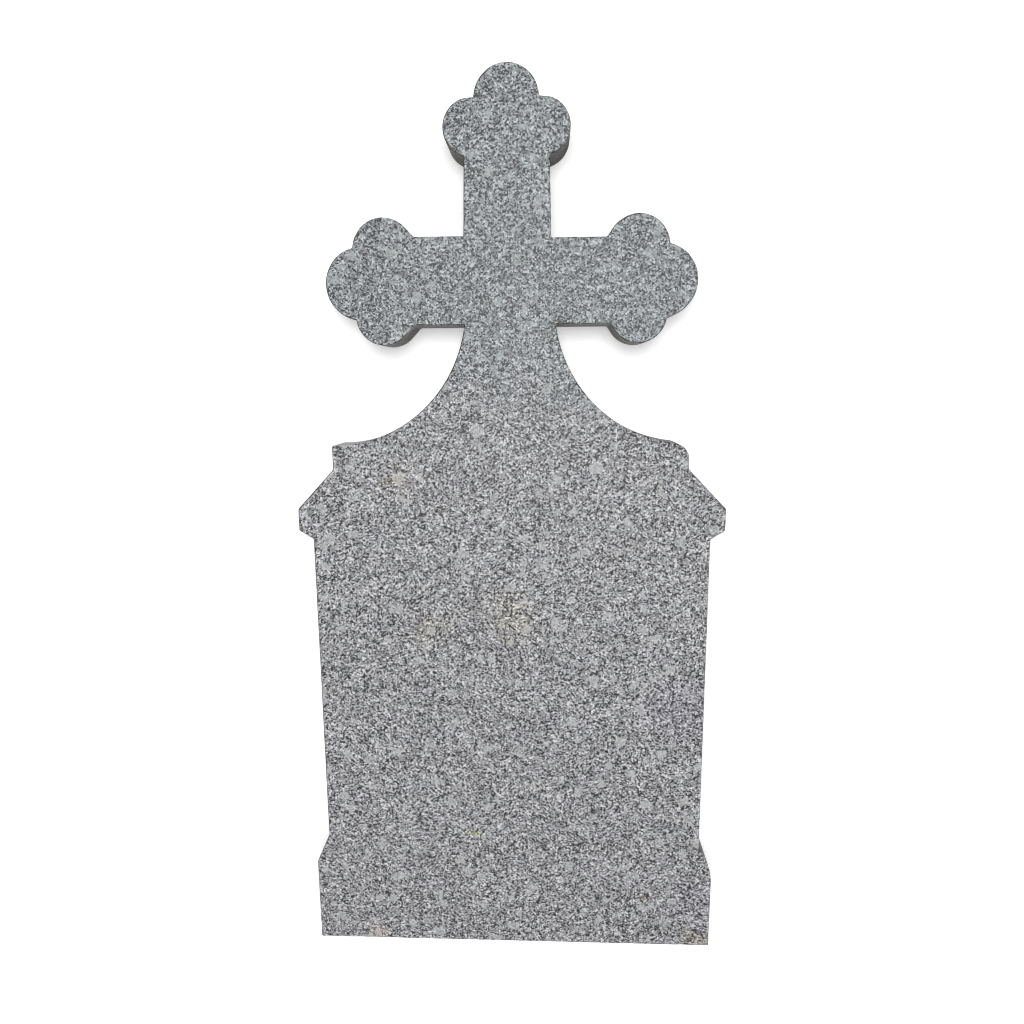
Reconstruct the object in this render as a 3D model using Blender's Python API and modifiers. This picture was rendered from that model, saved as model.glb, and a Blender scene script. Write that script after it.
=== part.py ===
# Granite grave stele: one slab whose outline holds a cross with trefoil ends, hollow shoulders, a cornice,
# a plain field and a base. The stone stands on its foot, with +Z up and its front towards -Y, and the
# origin is at the middle of the foot.

import math

import bpy
from mathutils import Vector

# Driving sizes, in metres. The heights are stacked from the ground up, and the cornice and the base both
# stand out past the field's edges by the same amount, which gives the slab its width.
THICKNESS = 0.060
ARRIS = 0.0012

FIELD_WIDTH = 0.557
FIELD_HEIGHT = 0.5048
SET_OUT = 0.020
SLAB_WIDTH = FIELD_WIDTH + 2 * SET_OUT
BASE_HEIGHT = 0.1285
SPLAY_RISE = 0.0455
ROUND_BASE_HEIGHT = 0.105
ROUND_RISE = 0.051
ROUND_RADIUS = 0.093

CORNICE_UNDERCUT = 0.0122
CORNICE_FACE = 0.0305
CORNICE_SLOPE = 0.0555
NECK_WIDTH = 0.492
NECK_HEIGHT = 0.034

SHOULDER_RISE = 0.161
SHOULDER_RADIUS = 0.186
LEFT_CORNER_RADIUS = 0.003
RIGHT_CORNER_RADIUS = 0.022
LEFT_STEM_REACH = 0.0585
RIGHT_STEM_REACH = 0.064

# The cross is cut by hand: its arms differ a little in width and length, and its upright widens downwards.
# The middle of the cross lies at a fixed height over the arms' underside.
MIDDLE_RISE = 0.0565
LEFT_ARM_WIDTH = 0.1138
RIGHT_ARM_WIDTH = 0.1105
UPRIGHT_FOOT_WIDTH = 0.1155
UPRIGHT_HEAD_WIDTH = 0.1115

LEFT_ARM_REACH = 0.2437
RIGHT_ARM_REACH = 0.2503
CROWN_REACH = 0.267

# Each reach ends in a trefoil: a tip between two side lobes. A lobe's inner side runs down to the bar as a
# straight flank, and the depth is how far the lobe's centre lies back from the tip.
TREFOIL_WIDTH = 0.165
CROWN_TIP_RADIUS = 0.042
CROWN_LOBE_RADIUS = 0.036
CROWN_LOBE_DEPTH = 0.0763
CROWN_FLANK = math.radians(70)
ARM_TIP_RADIUS = 0.0475
ARM_TIP_DROP = 0.002
UPPER_LOBE_RADIUS = 0.041
UPPER_LOBE_DEPTH = 0.0785
LOWER_LOBE_RADIUS = 0.0378
LOWER_LOBE_DEPTH = 0.077
LEFT_ARM_FLANK = math.radians(47)
RIGHT_ARM_FLANK = math.radians(57)

# How far a chord may stray from its arc, the turns that still count as smooth and as flat, and the weld
# distance
SAGITTA = 0.00006
SMOOTH_TURN = math.radians(30)
FLAT_TURN = math.radians(0.5)
WELD_DISTANCE = 0.00002

GRANITE_COLOUR = (0.33, 0.33, 0.34, 1.0)
GRANITE_ROUGHNESS = 0.55


def clear_scene():
    """Remove whatever the scene holds."""
    for item in list(bpy.data.objects):
        bpy.data.objects.remove(item, do_unlink=True)


def arc(centre, radius, start, end):
    """Points along a circle from the start angle to the end angle, both ends included."""
    longest_step = 2 * math.acos(1 - SAGITTA / radius)
    steps = math.ceil(abs(end - start) / longest_step)
    angles = [start + (end - start) * step / steps for step in range(steps + 1)]
    return [centre + radius * Vector((math.cos(angle), math.sin(angle))) for angle in angles]


def direction(start, end):
    """Angle of the way from one point to another."""
    way = end - start
    return math.atan2(way.y, way.x)


def lobe_meeting(tip, tip_radius, lobe, lobe_radius):
    """The outer of the two points where the tip's circle crosses a side lobe's circle."""
    gap = (lobe - tip).length
    along = (gap ** 2 + tip_radius ** 2 - lobe_radius ** 2) / (2 * gap)
    aside = math.sqrt(tip_radius ** 2 - along ** 2)
    way = (lobe - tip) / gap
    return tip + along * way + aside * Vector((way.y, -way.x))


def trefoil(tip, tip_radius, lobe, lobe_radius, edge, flank):
    """Half a trefoil on a bar along +X: its tip, its lobe, and the flank down to the bar's edge."""
    meeting = lobe_meeting(tip, tip_radius, lobe, lobe_radius)
    into_bar = math.pi - math.asin((edge - lobe.y) / lobe_radius)
    flank_top = min(math.pi / 2 + flank, into_bar)
    tip_arc = arc(tip, tip_radius, 0.0, direction(tip, meeting))
    lobe_arc = arc(lobe, lobe_radius, direction(lobe, meeting), flank_top)
    top = lobe_arc[-1]
    foot = Vector((top.x - (top.y - edge) / math.tan(flank), edge))
    return tip_arc + lobe_arc[1:] + [foot]


def crown(centre):
    """The right half of the upper trefoil, from its tip down to the upright's right edge."""
    tip = Vector((CROWN_REACH - CROWN_TIP_RADIUS, 0.0))
    lobe = Vector((CROWN_REACH - CROWN_LOBE_DEPTH, TREFOIL_WIDTH / 2 - CROWN_LOBE_RADIUS))
    edge = UPRIGHT_HEAD_WIDTH / 2
    half = trefoil(tip, CROWN_TIP_RADIUS, lobe, CROWN_LOBE_RADIUS, edge, CROWN_FLANK)
    return [centre + Vector((point.y, point.x)) for point in half]


def upper_arm(reach, width, flank):
    """The upper half of the right arm's trefoil, from the tip to the arm's upper edge."""
    tip = Vector((reach - ARM_TIP_RADIUS, -ARM_TIP_DROP))
    lobe = Vector((reach - UPPER_LOBE_DEPTH, TREFOIL_WIDTH / 2 - UPPER_LOBE_RADIUS))
    return trefoil(tip, ARM_TIP_RADIUS, lobe, UPPER_LOBE_RADIUS, width - MIDDLE_RISE, flank)


def lower_arm(reach, flank):
    """The lower half of the right arm's trefoil, from the tip to the arm's lower edge."""
    tip = Vector((reach - ARM_TIP_RADIUS, ARM_TIP_DROP))
    lobe = Vector((reach - LOWER_LOBE_DEPTH, TREFOIL_WIDTH / 2 - LOWER_LOBE_RADIUS))
    half = trefoil(tip, ARM_TIP_RADIUS, lobe, LOWER_LOBE_RADIUS, MIDDLE_RISE, flank)
    return [Vector((point.x, -point.y)) for point in half]


def arm_end(centre, reach, width, flank):
    """The right arm's trefoil, from the arm's upper edge round the tip to its lower edge."""
    above = upper_arm(reach, width, flank)
    below = lower_arm(reach, flank)
    return [centre + point for point in above[::-1] + below[1:]]


def hollow_centre(top, foot):
    """Centre of the circle that a shoulder's hollow follows from its top to its foot."""
    middle = (top + foot) / 2
    way = (foot - top) / 2
    depth = math.sqrt(SHOULDER_RADIUS ** 2 - way.length ** 2)
    return middle + depth * Vector((-way.y, way.x)).normalized()


def shoulder(top, foot, corner_radius):
    """A hollow quarter sweep from under the arm to the shoulder's outer corner, which is rounded."""
    hollow = hollow_centre(top, foot)
    aside = foot.x - corner_radius - hollow.x
    drop = math.sqrt((SHOULDER_RADIUS + corner_radius) ** 2 - aside ** 2)
    corner = hollow + Vector((aside, -drop))
    start = direction(hollow, top) % math.tau
    end = direction(hollow, corner) % math.tau
    sweep = arc(hollow, SHOULDER_RADIUS, start, end)
    rounding = arc(corner, corner_radius, direction(corner, hollow), 0.0)
    return sweep + rounding[1:]


def splayed_offset():
    """The left side of the base's top: a straight splay from the field's edge out to the base."""
    return [
        Vector((FIELD_WIDTH / 2, BASE_HEIGHT + SPLAY_RISE)),
        Vector((SLAB_WIDTH / 2, BASE_HEIGHT)),
    ]


def round_offset():
    """The right side of the base's top: a narrow ledge, then a bulging arc that runs into the base's edge."""
    centre = Vector((SLAB_WIDTH / 2 - ROUND_RADIUS, ROUND_BASE_HEIGHT))
    ledge = Vector((FIELD_WIDTH / 2, ROUND_BASE_HEIGHT + ROUND_RISE))
    start = math.asin(ROUND_RISE / ROUND_RADIUS)
    return [ledge] + arc(centre, ROUND_RADIUS, start, 0.0)


def side_outline(arm, stem_reach, corner_radius, offset):
    """One side of the outline, drawn on the right, from the crown's tip down to the foot.

    The arm is given as its reach, its width and its flanks' slope.
    """
    arm_reach, arm_width, arm_flank = arm
    field_top = BASE_HEIGHT + FIELD_HEIGHT
    cornice_foot = field_top + CORNICE_UNDERCUT
    cornice_top = cornice_foot + CORNICE_FACE
    neck_foot = cornice_top + CORNICE_SLOPE
    shoulder_foot = neck_foot + NECK_HEIGHT
    arm_foot = shoulder_foot + SHOULDER_RISE
    centre = Vector((0.0, arm_foot + MIDDLE_RISE))

    upright_corner = Vector((UPRIGHT_FOOT_WIDTH / 2, arm_foot + arm_width))
    stem_top = Vector((stem_reach, arm_foot))
    neck_top = Vector((NECK_WIDTH / 2, shoulder_foot))
    cornice = [
        Vector((NECK_WIDTH / 2, neck_foot)),
        Vector((SLAB_WIDTH / 2, cornice_top)),
        Vector((SLAB_WIDTH / 2, cornice_foot)),
        Vector((FIELD_WIDTH / 2, field_top)),
    ]
    cross = crown(centre) + [upright_corner] + arm_end(centre, arm_reach, arm_width, arm_flank)
    body = shoulder(stem_top, neck_top, corner_radius) + cornice
    return cross + body + offset + [Vector((SLAB_WIDTH / 2, 0.0))]


def outline():
    """The whole outline, once round: down the right side, along the foot and up the left side."""
    right_arm = (RIGHT_ARM_REACH, RIGHT_ARM_WIDTH, RIGHT_ARM_FLANK)
    left_arm = (LEFT_ARM_REACH, LEFT_ARM_WIDTH, LEFT_ARM_FLANK)
    right = side_outline(right_arm, RIGHT_STEM_REACH, RIGHT_CORNER_RADIUS, round_offset())
    left = side_outline(left_arm, LEFT_STEM_REACH, LEFT_CORNER_RADIUS, splayed_offset())
    return right + [Vector((-point.x, point.y)) for point in reversed(left[1:])]


def granite():
    """Light grey granite, finely dressed."""
    material = bpy.data.materials.new("granite")
    material.use_nodes = True
    shader = material.node_tree.nodes["Principled BSDF"]
    shader.inputs["Base Color"].default_value = GRANITE_COLOUR
    shader.inputs["Roughness"].default_value = GRANITE_ROUGHNESS
    shader.inputs["Metallic"].default_value = 0.0
    material.diffuse_color = GRANITE_COLOUR
    return material


def stele(collection):
    """The slab: its outline filled and given its thickness, with every arris eased."""
    points = outline()
    curve = bpy.data.curves.new("granite_stele", "CURVE")
    curve.dimensions = "2D"
    curve.fill_mode = "BOTH"
    curve.extrude = THICKNESS / 2
    spline = curve.splines.new("POLY")
    spline.points.add(len(points) - 1)
    for place, point in zip(spline.points, points):
        place.co = (point.x, point.y, 0.0, 1.0)
    spline.use_cyclic_u = True
    curve.materials.append(granite())

    slab = bpy.data.objects.new("granite_stele", curve)
    slab.rotation_euler = (math.pi / 2, 0.0, 0.0)
    collection.objects.link(slab)

    weld = slab.modifiers.new("weld caps", "WELD")
    weld.merge_threshold = WELD_DISTANCE
    plain = slab.modifiers.new("plain caps", "DECIMATE")
    plain.decimate_type = "DISSOLVE"
    plain.angle_limit = FLAT_TURN
    bevel = slab.modifiers.new("eased arris", "BEVEL")
    bevel.width = ARRIS
    bevel.segments = 1
    bevel.limit_method = "ANGLE"
    bevel.angle_limit = SMOOTH_TURN
    return slab


def main():
    clear_scene()
    collection = bpy.data.collections.new("grave_monument")
    bpy.context.scene.collection.children.link(collection)
    stele(collection)


main()
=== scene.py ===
# Looks of the granite grave stele: its worn stone, a plain pale floor and wall, soft light and the camera.

import math

import bpy
from mathutils import Matrix, Vector, noise


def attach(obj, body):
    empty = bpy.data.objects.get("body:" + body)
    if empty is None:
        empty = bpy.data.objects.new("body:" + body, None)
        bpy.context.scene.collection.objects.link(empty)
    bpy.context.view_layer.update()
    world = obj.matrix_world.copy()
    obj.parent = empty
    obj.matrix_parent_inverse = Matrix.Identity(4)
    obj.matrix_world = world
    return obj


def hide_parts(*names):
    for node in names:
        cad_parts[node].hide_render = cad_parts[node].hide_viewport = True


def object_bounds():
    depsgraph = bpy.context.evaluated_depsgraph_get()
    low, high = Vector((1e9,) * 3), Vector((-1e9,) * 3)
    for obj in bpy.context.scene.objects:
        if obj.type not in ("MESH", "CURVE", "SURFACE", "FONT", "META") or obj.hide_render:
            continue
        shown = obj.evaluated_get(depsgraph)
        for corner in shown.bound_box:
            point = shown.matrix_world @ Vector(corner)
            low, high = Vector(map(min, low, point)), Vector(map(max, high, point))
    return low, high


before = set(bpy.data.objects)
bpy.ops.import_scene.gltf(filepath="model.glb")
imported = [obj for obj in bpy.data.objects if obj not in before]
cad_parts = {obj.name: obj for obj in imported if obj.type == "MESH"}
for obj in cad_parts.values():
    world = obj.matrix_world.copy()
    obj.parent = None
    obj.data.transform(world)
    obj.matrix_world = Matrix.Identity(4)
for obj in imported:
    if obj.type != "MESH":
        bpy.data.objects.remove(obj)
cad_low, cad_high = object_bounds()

MM = 0.001
STELE = "granite_stele"

# The camera's place and turns, in metres and radians, and its lens for a 36 mm wide sensor
CAMERA_PLACE = Vector((0.0507, -1.0700, 0.8516))
CAMERA_YAW = 0.0453
CAMERA_PITCH = -0.1707
CAMERA_ROLL = -0.0076
CAMERA_LENS = 26.66
SENSOR_WIDTH = 36.0

# How wide the render's filter is, in pixels
PIXEL_FILTER = 1.0

# The light: how bright the room is, and two square lamps, in watts, aimed a little above the stone's middle
AMBIENT = 0.30
FRONT_POWER = 125.0
FRONT_LAMP = Vector((0.1, -4.0, 1.55))
BACK_POWER = 90.0
BACK_LAMP = Vector((-0.8, 3.6, 2.6))
LAMP_SIZE = 2.0
LAMP_AIM = Vector((0.0, 0.0, 0.7))

# The floor and the wall: large matt cards that glow a little
CARD_SIZE = 8.0
CARD_WHITE = 0.9
FLOOR_GLOW = 0.75
WALL_GLOW = 0.30
WALL_GAP = 1 * MM

# Angles: what is still flat, what is a sharp edge, and what is shaded smooth
FLAT_TURN = math.radians(0.5)
SHARP_TURN = math.radians(30)
SMOOTH_TURN = math.radians(15)

# Distances between points that are one, and between a point and a face that it lies in or borders on
MERGE_DISTANCE = 0.01 * MM
TOUCH = 0.1 * MM
FACE_RIM = 0.3 * MM

# The arrises: how far behind a face they reach, how much they lean sideways, and how far apart points stand
ARRIS_REACH = 2 * MM
ARRIS_LEAN = 0.05
ARRIS_STEP = 6 * MM

# How deep the arrises are rubbed down, and how finely that varies along them
ARRIS_WEAR = 0.5 * MM
RUBS_PER_METRE = 90

# How deep a chip can be, how finely chips vary, and the noise at which one begins and is full
CHIP_DEPTH = 1.6 * MM
CHIPS_PER_METRE = 55
CHIP_SHIFT = Vector((7.1, 3.7, 1.9))
CHIP_FROM = 0.42
CHIP_RISE = 0.3

# The granite's grains and clouds, as their sizes across, and how far the grains' edges are bent
MICA_SIZE = 1.9 * MM
MINERAL_SIZE = 2.3 * MM
GRAIN_BEND_SIZE = 2.5 * MM
GRAIN_BEND = 2.0 * MM
CLUSTER_SIZE = 8 * MM
LUMP_SIZE = 11 * MM
LUMP_BEND = 7 * MM
CLOUD_SIZE = 35 * MM

# Cloudy noise: how many finer layers it has, and how strongly these show
CLOUDY = {"detail": 3.0, "rough": 0.6}

# How strongly clusters and clouds draw grains of one kind together
MINERAL_CLUSTERING = 0.45
MINERAL_CLOUDING = 0.2
MICA_CLUSTERING = 0.60
MICA_CLOUDING = 0.1

# The chance numbers at which a grain begins to be mica or a pale lump, and at which it is all that
MICA_CHANCE = (0.31, 0.26)
LUMP_CHANCE = (0.95, 0.97)

# How much of a pale lump's colour shows over the grains, and how much mica it hides
LUMP_STRENGTH = 0.65
LUMP_HIDES = 0.6

# The surface: haze, saw marks, dirt, wear, gloss and relief, as their sizes across
HAZE_SIZE = 45 * MM
STREAK_SIZE = 1.6 * MM
BLOTCH_SIZE = 16 * MM
WORN_SIZE = 9 * MM
GLOSS_SIZE = 3 * MM
RELIEF_SIZE = 1.5 * MM

# How much slower the saw marks change along a side than across it
STREAK_SLOWING = 0.25

# How deep the relief is, how much of it shows, and what grains, mica and saw marks add to it
RELIEF_DEPTH = 0.25 * MM
RELIEF_STRENGTH = 0.35
GRAIN_RELIEF = 0.8
MICA_RELIEF = 0.4
STREAK_RELIEF = 1.5

# The face's least roughness, how much it varies, how much mica takes off and how much the sides add
ROUGHNESS = 0.5
ROUGHNESS_VARIES = 0.2
MICA_GLOSS = 0.15
SIDE_ROUGHNESS = 0.2

# The heights between which the stone turns green, and how far haze moves them up and down, in metres
GREEN_HEIGHT = (0.78, 0.90)
GREEN_WANDER = 0.3

# The haze at which the stone begins to look warm, and where it is full, and how much the tint shows
WARM_HAZE = (0.52, 0.72)
WARM_STRENGTH = 0.7

# How the surface faces where a look begins and where it is full, on a measure from -1 to 1
BACK_FACING = (0.45, 0.60)
SIDE_FACING = (0.45, 0.30)
ARRIS_BY_FACE = (0.97, 0.90)
ARRIS_BY_SIDE = (0.35, 0.45)
HANGING = (0.15, -0.35)
LEFTWARDS = (-0.25, -0.60)

# How much of the sawn grey shows over the grains, on the back and on the sides
BACK_GREY = 0.35
SIDE_GREY = 0.5

# What adds to the painted shade and dirt on a side: painted shade where it hangs, darkening where it faces
# left, saw marks and blotches as dirt, and painted shade per metre towards the back; then where it begins
# and is full, and how much of it shows
HANGING_SHADE = 0.42
LEFT_DARKENING = 0.12
STREAK_DIRT = 1.6
BLOTCH_DIRT = 0.9
INSIDE_SHADE = 8.0
SHADE_AND_DIRT_RANGE = (0.0, 0.60)
SHADE_AND_DIRT_STRENGTH = 0.9

# How much saw marks count when the painted shade and dirt on a side are olive and not black, and where
# olive begins and is full
OLIVE_STREAK = 1.2
OLIVE_RANGE = (0.30, 0.62)

# What adds to the darkening of an arris: painted shade where it hangs, darkening where it faces left, and
# dirt where it is worn; where it begins and is full, and how much of it shows
ARRIS_HANGING_SHADE = 0.50
ARRIS_LEFT_DARKENING = 0.75
ARRIS_WORN_DIRT = 1.1
ARRIS_SHADE_AND_DIRT_RANGE = (0.36, 0.62)
ARRIS_SHADE_AND_DIRT_STRENGTH = 0.8

# Colours of the minerals, of what has stained the stone, and of the painted shade and dirt on the sides and
# arrises
MICA = (0.006, 0.006, 0.008, 1.0)
DARK_QUARTZ = (0.150, 0.151, 0.155, 1.0)
QUARTZ = (0.275, 0.278, 0.284, 1.0)
PALE_QUARTZ = (0.460, 0.465, 0.470, 1.0)
FELDSPAR = (0.70, 0.71, 0.71, 1.0)
LUMP = (0.50, 0.515, 0.50, 1.0)
BLUE_TINT = (0.975, 0.970, 1.000, 1.0)
GREEN_TINT = (0.790, 0.835, 0.860, 1.0)
WARM_TINT = (0.975, 0.965, 0.950, 1.0)
SAWN_GREY = (0.24, 0.235, 0.215, 1.0)
# Olive and black: painted shade where sides and arrises hang, mixed with dirt
OLIVE_SHADE_AND_DIRT = (0.085, 0.078, 0.052, 1.0)
BLACK_SHADE_AND_DIRT = (0.016, 0.017, 0.012, 1.0)
BEIGE = (1.03, 0.98, 0.90, 1.0)
LILAC = (0.96, 0.93, 1.01, 1.0)
PINK = (1.08, 0.96, 0.90, 1.0)
BROWN = (0.92, 0.84, 0.74, 1.0)
RUST = (0.32, 0.12, 0.04, 1.0)
ALGAE = (0.80, 0.86, 0.50, 1.0)

# Which mineral a grain is, by its chance number
MINERAL_STOPS = (
    (0.12, DARK_QUARTZ), (0.20, QUARTZ), (0.48, QUARTZ), (0.56, PALE_QUARTZ), (0.80, PALE_QUARTZ),
    (0.88, FELDSPAR))

# Stains on the face: their places across and up in metres, their reach and soft rim in mm, their colour
STAINS = (
    (0.000, 0.516, 5, 55, BEIGE), (-0.152, 0.710, 4, 34, BEIGE), (-0.116, 0.500, 3, 34, BEIGE),
    (0.241, 0.382, 12, 50, LILAC), (0.283, 0.078, 10, 45, LILAC), (-0.207, 0.008, 6, 26, PINK),
    (0.282, 0.010, 3, 18, BROWN), (-0.061, 0.178, 2, 7, ALGAE))
STAIN_BEND_SIZE = 40 * MM
STAIN_BEND = 60 * MM

# Single large pale lumps in the face, and one spot of rust, placed in the same way
PALE_LUMPS = (
    (-0.114, 0.498, 5), (-0.027, 0.455, 4), (0.159, 0.331, 7), (0.143, 0.293, 5), (0.189, 0.533, 4),
    (-0.205, 0.069, 5), (-0.184, 0.069, 5))
PALE_LUMP_RIM = 2
RUST_SPOT = (0.198, 0.081, 1.5, 2.5)
RUST_STRENGTH = 0.8
SPOT_BEND_SIZE = 4 * MM
SPOT_BEND = 5 * MM


def grey(level):
    return (level, level, level, 1.0)


class Value:
    """A shader output. An expression on values adds its Math nodes."""

    def __init__(self, nodes, socket):
        self.nodes = nodes
        self.socket = socket

    def __add__(self, other):
        return self.nodes.maths("ADD", self, other)

    def __radd__(self, other):
        return self.nodes.maths("ADD", other, self)

    def __sub__(self, other):
        return self.nodes.maths("SUBTRACT", self, other)

    def __rsub__(self, other):
        return self.nodes.maths("SUBTRACT", other, self)

    def __mul__(self, other):
        return self.nodes.maths("MULTIPLY", self, other)

    def __rmul__(self, other):
        return self.nodes.maths("MULTIPLY", other, self)

    def __abs__(self):
        return self.nodes.maths("ABSOLUTE", self, 0.0)


class Nodes:
    """The nodes of a material or of the world."""

    def __init__(self, tree):
        self.tree = tree

    def plug(self, socket, given):
        """Link a value to a socket, or set the socket to a plain number or colour."""
        if isinstance(given, Value):
            self.tree.links.new(given.socket, socket)
        else:
            socket.default_value = given

    def node(self, kind, output, settings=None, sockets=None):
        """A new node's output. Its settings are made first, and then its sockets get values or links."""
        made = self.tree.nodes.new(kind)
        for name, setting in (settings or {}).items():
            if name == "stops":
                self.set_stops(made.color_ramp.elements, setting)
            else:
                setattr(made, name, setting)
        for name, given in (sockets or {}).items():
            self.plug(made.inputs[name], given)
        return Value(self, made.outputs[output])

    def set_stops(self, elements, stops):
        """A ramp's stops, each a place from 0 to 1 and a colour."""
        while len(elements) < len(stops):
            elements.new(0.5)
        for element, (at, colour) in zip(elements, stops):
            element.position = at
            element.color = colour

    def maths(self, operation, first, second):
        return self.node("ShaderNodeMath", 0, {"operation": operation}, {0: first, 1: second})


class Finish(Nodes):
    """A material being made."""

    def __init__(self, name):
        self.material = bpy.data.materials.new(name)
        self.material.use_nodes = True
        super().__init__(self.material.node_tree)
        self.shader = self.tree.nodes["Principled BSDF"]

    def shade(self, name, given):
        """Give one of the shader's own sockets its value."""
        self.plug(self.shader.inputs[name], given)

    def place(self):
        """The point on the piece, in metres."""
        return self.node("ShaderNodeTexCoord", "Object")

    def normal(self):
        """The way the surface faces."""
        return self.node("ShaderNodeTexCoord", "Normal")

    def axis(self, vector, name):
        """One of a vector's three measures."""
        return self.node("ShaderNodeSeparateXYZ", name, sockets={"Vector": vector})

    def vectors(self, operation, output, first, second):
        return self.node("ShaderNodeVectorMath", output, {"operation": operation}, {0: first, 1: second})

    def noise(self, place, size, detail=2.0, rough=0.5):
        """Soft noise around a half, with lumps of the given size in metres."""
        return self.node("ShaderNodeTexNoise", "Fac", sockets={
            "Vector": place, "Scale": 1 / size, "Detail": detail, "Roughness": rough})

    def grains(self, place, size):
        """Random grains of the given size: one chance number from 0 to 1 for each grain."""
        cells = self.node("ShaderNodeTexVoronoi", "Color", sockets={"Vector": place, "Scale": 1 / size})
        return self.node("ShaderNodeSeparateColor", "Red", sockets={"Color": cells})

    def ragged(self, place, size, reach):
        """The place, pushed about by noise, so that what is drawn on it has ragged edges."""
        wobble = self.node("ShaderNodeTexNoise", "Color", sockets={
            "Vector": place, "Scale": 1 / size, "Detail": 2.0})
        shift = self.vectors("SUBTRACT", "Vector", wobble, (0.5, 0.5, 0.5))
        push = self.node("ShaderNodeVectorMath", "Vector", {"operation": "SCALE"}, {
            0: shift, "Scale": reach})
        return self.vectors("ADD", "Vector", push, place)

    def near(self, place, x, z, reach, rim):
        """How near the place is to a spot on the stone: 1 within the reach in mm, 0 past its soft rim."""
        flat = self.vectors("MULTIPLY", "Vector", place, (1.0, 0.0, 1.0))
        away = self.vectors("DISTANCE", "Value", flat, (x, 0.0, z))
        return self.between(away, reach * MM, reach * MM + rim * MM, 1.0, 0.0)

    def ramp(self, factor, stops):
        """A colour read off stops."""
        return self.node("ShaderNodeValToRGB", "Color", {"stops": stops}, {"Fac": factor})

    def between(self, value, low, high, start=0.0, end=1.0):
        """A value eased from start to end while it goes from low to high."""
        return self.node("ShaderNodeMapRange", "Result", {"interpolation_type": "SMOOTHSTEP"}, {
            "Value": value, "From Min": low, "From Max": high, "To Min": start, "To Max": end})

    def mix(self, share, below, above, how="MIX"):
        """One colour over another by the given share."""
        return self.node("ShaderNodeMix", 2, {"data_type": "RGBA", "blend_type": how}, {
            0: share, 6: below, 7: above})


def minerals(finish, place):
    """The granite itself: quartz and feldspar in pale grains, black mica, and a few large pale lumps."""
    bent = finish.ragged(place, GRAIN_BEND_SIZE, GRAIN_BEND)
    cluster = finish.noise(place, CLUSTER_SIZE) - 0.5
    cloud = finish.noise(place, CLOUD_SIZE, **CLOUDY) - 0.5
    chance = finish.grains(bent, MINERAL_SIZE) + cluster * MINERAL_CLUSTERING + cloud * MINERAL_CLOUDING
    colour = finish.ramp(chance, MINERAL_STOPS)
    flake = finish.grains(bent, MICA_SIZE) + cluster * MICA_CLUSTERING + cloud * MICA_CLOUDING
    mica = finish.between(flake, *MICA_CHANCE)
    lump = finish.grains(finish.ragged(place, LUMP_BEND, LUMP_BEND), LUMP_SIZE)
    pale = finish.between(lump, *LUMP_CHANCE)
    colour = finish.mix(pale * LUMP_STRENGTH, colour, LUMP)
    colour = finish.mix(mica * (1.0 - pale * LUMP_HIDES), colour, MICA)
    return colour, mica


def stained(finish, place, colour):
    """The face with its tints and stains: blue, green and warm hazes, clouds, pale lumps and rust."""
    haze = finish.noise(place, HAZE_SIZE, **CLOUDY)
    height = finish.axis(place, "Z")
    green = finish.between(height + (haze - 0.5) * GREEN_WANDER, *GREEN_HEIGHT)
    tint = finish.mix(green, BLUE_TINT, GREEN_TINT)
    warm = finish.between(haze, *WARM_HAZE) * (1.0 - green)
    tint = finish.mix(warm * WARM_STRENGTH, tint, WARM_TINT)
    clouded = finish.ragged(place, STAIN_BEND_SIZE, STAIN_BEND)
    for x, z, reach, rim, stain in STAINS:
        tint = finish.mix(finish.near(clouded, x, z, reach, rim), tint, stain)
    colour = finish.mix(1.0, colour, tint, "MULTIPLY")
    spotted = finish.ragged(place, SPOT_BEND_SIZE, SPOT_BEND)
    for x, z, reach in PALE_LUMPS:
        lump = finish.near(spotted, x, z, reach, PALE_LUMP_RIM)
        colour = finish.mix(lump * LUMP_STRENGTH, colour, LUMP)
    rust = finish.near(spotted, *RUST_SPOT)
    return finish.mix(rust * RUST_STRENGTH, colour, RUST)


def sawn(finish, place, colour, streak, hanging, leftwards):
    """The sawn sides: browner stone under painted shade where a side hangs, deeper towards the back, darker
    where it faces left, and with streaky, blotchy dirt.
    """
    blotch = finish.noise(place, BLOTCH_SIZE, **CLOUDY)
    inside = hanging * finish.axis(place, "Y") * INSIDE_SHADE
    # Painted shade where a side hangs, deeper towards the back; darker where it faces left; saw marks and
    # blotches are dirt
    shade = hanging * HANGING_SHADE + inside + leftwards * LEFT_DARKENING
    shade = shade + (streak - 0.5) * STREAK_DIRT + (blotch - 0.5) * BLOTCH_DIRT
    shade_and_dirt = finish.between(shade, *SHADE_AND_DIRT_RANGE)
    olive = finish.between(blotch + (streak - 0.5) * OLIVE_STREAK - inside, *OLIVE_RANGE)
    grime_and_shade = finish.mix(olive, BLACK_SHADE_AND_DIRT, OLIVE_SHADE_AND_DIRT)
    return finish.mix(shade_and_dirt * SHADE_AND_DIRT_STRENGTH, finish.mix(SIDE_GREY, colour, SAWN_GREY), grime_and_shade)


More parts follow.
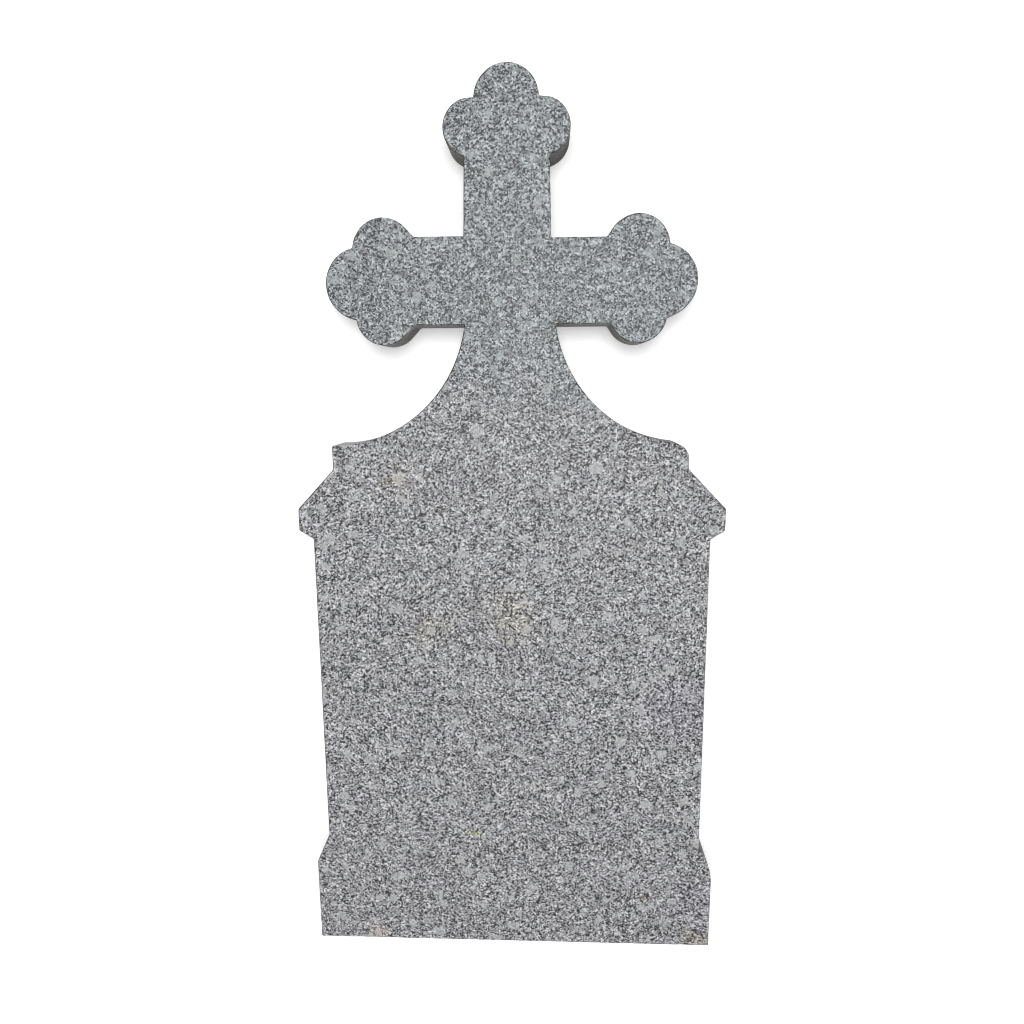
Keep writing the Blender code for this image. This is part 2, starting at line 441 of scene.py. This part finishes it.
def granite():
    """The stele's granite: a finely ground face, a plainer back, sawn sides, and sides and arrises darkened
    by painted shade where they hang and by dirt.
    """
    finish = Finish("worn_granite")
    place = finish.place()
    normal = finish.normal()
    backwards = finish.axis(normal, "Y")
    outwards = abs(backwards)
    back = finish.between(backwards, *BACK_FACING)
    side = finish.between(outwards, *SIDE_FACING)
    arris = finish.between(outwards, *ARRIS_BY_FACE) * finish.between(outwards, *ARRIS_BY_SIDE)
    hanging = finish.between(finish.axis(normal, "Z"), *HANGING)
    leftwards = finish.between(finish.axis(normal, "X"), *LEFTWARDS)

    colour, mica = minerals(finish, place)
    face = finish.mix(back, stained(finish, place, colour), finish.mix(BACK_GREY, colour, SAWN_GREY))
    along = finish.vectors("MULTIPLY", "Vector", place, (STREAK_SLOWING, 1.0, STREAK_SLOWING))
    streak = finish.noise(along, STREAK_SIZE, **CLOUDY)
    base = finish.mix(side, face, sawn(finish, place, colour, streak, hanging, leftwards))
    worn = finish.noise(place, WORN_SIZE) - 0.5
    # Arrises darkened: painted shade where they hang, darker where they face left, dirt where worn
    shade = hanging * ARRIS_HANGING_SHADE + leftwards * ARRIS_LEFT_DARKENING + worn * ARRIS_WORN_DIRT
    dark = finish.between(shade, *ARRIS_SHADE_AND_DIRT_RANGE)
    finish.shade("Base Color", finish.mix(arris * dark * ARRIS_SHADE_AND_DIRT_STRENGTH, base, BLACK_SHADE_AND_DIRT))

    rough = finish.noise(place, GLOSS_SIZE) * ROUGHNESS_VARIES + ROUGHNESS
    finish.shade("Roughness", rough - mica * MICA_GLOSS + side * SIDE_ROUGHNESS)
    relief = finish.noise(place, RELIEF_SIZE, 3.0) * GRAIN_RELIEF - mica * MICA_RELIEF
    relief = relief + side * streak * STREAK_RELIEF
    finish.shade("Normal", finish.node("ShaderNodeBump", "Normal", sockets={
        "Strength": RELIEF_STRENGTH, "Distance": RELIEF_DEPTH, "Height": relief}))
    return finish.material


def card_finish(name, glow, one_sided=False):
    """Matt white card that glows a little. One-sided card can't be seen from behind."""
    finish = Finish(name)
    finish.shade("Base Color", grey(CARD_WHITE))
    finish.shade("Roughness", 1.0)
    finish.shade("Specular IOR Level", 0.0)
    finish.shade("Emission Color", grey(1.0))
    finish.shade("Emission Strength", glow)
    if one_sided:
        behind = finish.node("ShaderNodeNewGeometry", "Backfacing")
        clear = finish.node("ShaderNodeBsdfTransparent", "BSDF")
        white = Value(finish, finish.shader.outputs["BSDF"])
        both = finish.node("ShaderNodeMixShader", 0, sockets={0: behind, 1: white, 2: clear})
        finish.plug(finish.tree.nodes["Material Output"].inputs["Surface"], both)
    return finish.material


def deselect():
    for item in bpy.context.selected_objects:
        item.select_set(False)


def join_faces(mesh):
    """The front made into one face, and the back into another."""
    bpy.ops.mesh.select_mode(type="FACE")
    for side in (-1, 1):
        bpy.ops.mesh.select_all(action="DESELECT")
        bpy.ops.object.mode_set(mode="OBJECT")
        for face in mesh.polygons:
            face.select = face.center.y * side > cad_high.y - TOUCH
        bpy.ops.object.mode_set(mode="EDIT")
        bpy.ops.mesh.dissolve_faces()


def select_long_edges(mesh):
    """Select the edges along the front and the back arris that are still too long, and count them."""
    bpy.ops.mesh.select_all(action="DESELECT")
    bpy.ops.mesh.edges_select_sharp(sharpness=SHARP_TURN)
    bpy.ops.object.mode_set(mode="OBJECT")
    for edge in mesh.edges:
        start, end = [mesh.vertices[index].co for index in edge.vertices]
        along = abs(start.y - end.y) < TOUCH and abs(start.y) > cad_high.y - ARRIS_REACH
        edge.select = edge.select and along and (start - end).length > ARRIS_STEP
    for face in mesh.polygons:
        face.select = False
    count = sum(edge.select for edge in mesh.edges)
    bpy.ops.object.mode_set(mode="EDIT")
    return count


def cut_long_edges(mesh):
    """Points along every edge of the front and the back arris, so that it can wear unevenly."""
    bpy.ops.mesh.select_mode(type="EDGE")
    while select_long_edges(mesh):
        bpy.ops.mesh.subdivide(number_cuts=1)
    bpy.ops.object.mode_set(mode="OBJECT")


def wear_arrises(mesh):
    """The arrises rubbed down here and there, with a few small chips."""
    spots = []
    for vertex in mesh.vertices:
        inwards = Vector((-vertex.normal.x, 0.0, -vertex.normal.z))
        if abs(vertex.co.y) > cad_high.y - ARRIS_REACH and inwards.length > ARRIS_LEAN:
            spots.append((vertex, inwards.normalized()))
    for vertex, inwards in spots:
        place = vertex.co.copy()
        rub = max(0.0, noise.noise(place * RUBS_PER_METRE)) * 2 * ARRIS_WEAR
        chance = noise.noise(place * CHIPS_PER_METRE + CHIP_SHIFT)
        chip = max(0.0, chance - CHIP_FROM) / CHIP_RISE * CHIP_DEPTH
        depth = rub + min(chip, CHIP_DEPTH)
        if abs(place.y) > cad_high.y - FACE_RIM:
            vertex.co = place + inwards * depth
        else:
            vertex.co.y -= math.copysign(depth, place.y)


def worn_stele(cad):
    """The stone as it stands now: the same slab, with arrises that are no longer sharp."""
    deselect()
    cad.select_set(True)
    bpy.context.view_layer.objects.active = cad
    bpy.ops.object.duplicate()
    stone = bpy.context.object
    stone.name = "worn_stele"
    bpy.ops.object.mode_set(mode="EDIT")
    bpy.ops.mesh.select_all(action="SELECT")
    bpy.ops.mesh.remove_doubles(threshold=MERGE_DISTANCE)
    bpy.ops.mesh.dissolve_limited(angle_limit=FLAT_TURN)
    join_faces(stone.data)
    cut_long_edges(stone.data)
    wear_arrises(stone.data)
    bpy.ops.object.shade_smooth_by_angle(angle=SMOOTH_TURN)
    stone.data.materials.clear()
    stone.data.materials.append(granite())
    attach(stone, "root")
    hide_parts(STELE)


def card(name, place, turn, material):
    """A large square card of the stage. No diffuse light comes off it onto the stone."""
    deselect()
    bpy.ops.mesh.primitive_plane_add(size=CARD_SIZE, location=place, rotation=turn)
    made = bpy.context.object
    made.name = name
    made.data.materials.append(material)
    made.visible_diffuse = False
    return made


def softbox(name, place, power):
    light = bpy.data.lights.new(name, "AREA")
    light.shape = "SQUARE"
    light.size = LAMP_SIZE
    light.energy = power
    lamp = bpy.data.objects.new(name, light)
    lamp.location = place
    lamp.rotation_euler = (LAMP_AIM - place).to_track_quat("-Z", "Y").to_euler()
    bpy.context.scene.collection.objects.link(lamp)


def backdrop():
    """A world that the camera sees as white, and that lights the stone more weakly."""
    world = bpy.data.worlds.new("studio")
    world.use_nodes = True
    bpy.context.scene.world = world
    sky = Nodes(world.node_tree)
    seen = sky.node("ShaderNodeLightPath", "Is Camera Ray")
    level = sky.node("ShaderNodeMapRange", "Result", sockets={
        "Value": seen, "To Min": AMBIENT, "To Max": 1.0})
    background = world.node_tree.nodes["Background"]
    sky.plug(background.inputs["Color"], grey(1.0))
    sky.plug(background.inputs["Strength"], level)


def studio():
    """A pale floor, a pale wall close behind the stone, and soft light from the front and from behind."""
    card("floor", (0, 0, 0), (0, 0, 0), card_finish("floor_card", FLOOR_GLOW))
    wall_finish = card_finish("wall_card", WALL_GLOW, one_sided=True)
    wall = card("wall", (0, cad_high.y + WALL_GAP, 0), (math.pi / 2, 0, 0), wall_finish)
    wall.visible_glossy = False
    wall.visible_shadow = False
    backdrop()
    softbox("front_light", FRONT_LAMP, FRONT_POWER)
    softbox("back_light", BACK_LAMP, BACK_POWER)


def camera():
    data = bpy.data.cameras.new("camera")
    data.sensor_width = SENSOR_WIDTH
    data.lens = CAMERA_LENS
    made = bpy.data.objects.new("camera", data)
    turn = Matrix.Rotation(CAMERA_YAW, 4, "Z") @ Matrix.Rotation(math.pi / 2 + CAMERA_PITCH, 4, "X")
    turn = turn @ Matrix.Rotation(CAMERA_ROLL, 4, "Z")
    made.matrix_world = Matrix.Translation(CAMERA_PLACE) @ turn
    bpy.context.scene.collection.objects.link(made)
    bpy.context.scene.camera = made


bpy.context.scene.view_settings.view_transform = "Standard"
bpy.context.scene.cycles.filter_width = PIXEL_FILTER
camera()
studio()
worn_stele(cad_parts[STELE])
